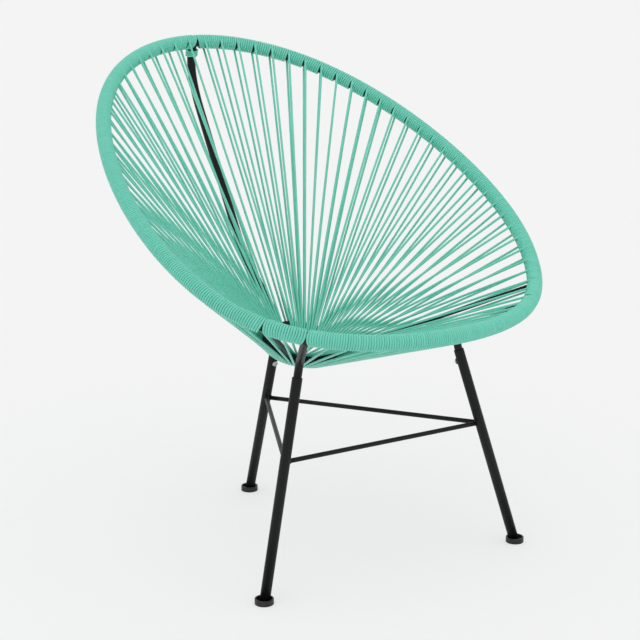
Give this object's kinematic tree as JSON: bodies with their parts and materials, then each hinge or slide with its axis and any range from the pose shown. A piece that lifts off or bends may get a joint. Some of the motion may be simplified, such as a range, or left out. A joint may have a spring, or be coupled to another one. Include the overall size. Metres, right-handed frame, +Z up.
{
  "type": "acapulco chair",
  "caption": "String lounge chair with an open corded bowl on a steel hoop and base ring, held by three splayed tube legs.",
  "frame": {"origin": "middle of the chair's outline seen from above, on the floor under the feet", "axes": "+Z up, -Y towards the front edge of the seat, +X to the right as seen from the front"},
  "size_m": [0.7358, 0.8667, 0.8614],
  "materials": {
    "black_steel": "satin powder coat",
    "mint_cord": "smooth flexible PVC",
    "black_plastic": "moulded, slight sheen",
    "zinc": "bright zinc plate"
  },
  "bodies": {
    "root": {"hoop_tube": "black_steel", "base_ring": "black_steel", "rear_spine": "black_steel", "front_strut_left": "black_steel", "front_strut_right": "black_steel", "front_stub_left": "black_steel", "front_stub_right": "black_steel", "leg_front_left": "black_steel", "leg_front_right": "black_steel", "leg_rear": "black_steel", "stretcher_front": "black_steel", "stretcher_left": "black_steel", "stretcher_right": "black_steel", "leg_screw_front_left": "zinc", "leg_screw_front_right": "zinc", "leg_screw_rear": "zinc", "foot_front_left": "black_plastic", "foot_front_right": "black_plastic", "foot_rear": "black_plastic", "seat_cord_front_right": "mint_cord", "seat_cord_back_right": "mint_cord", "seat_cord_back_left": "mint_cord", "seat_cord_front_left": "mint_cord"}
  },
  "joints": []
}
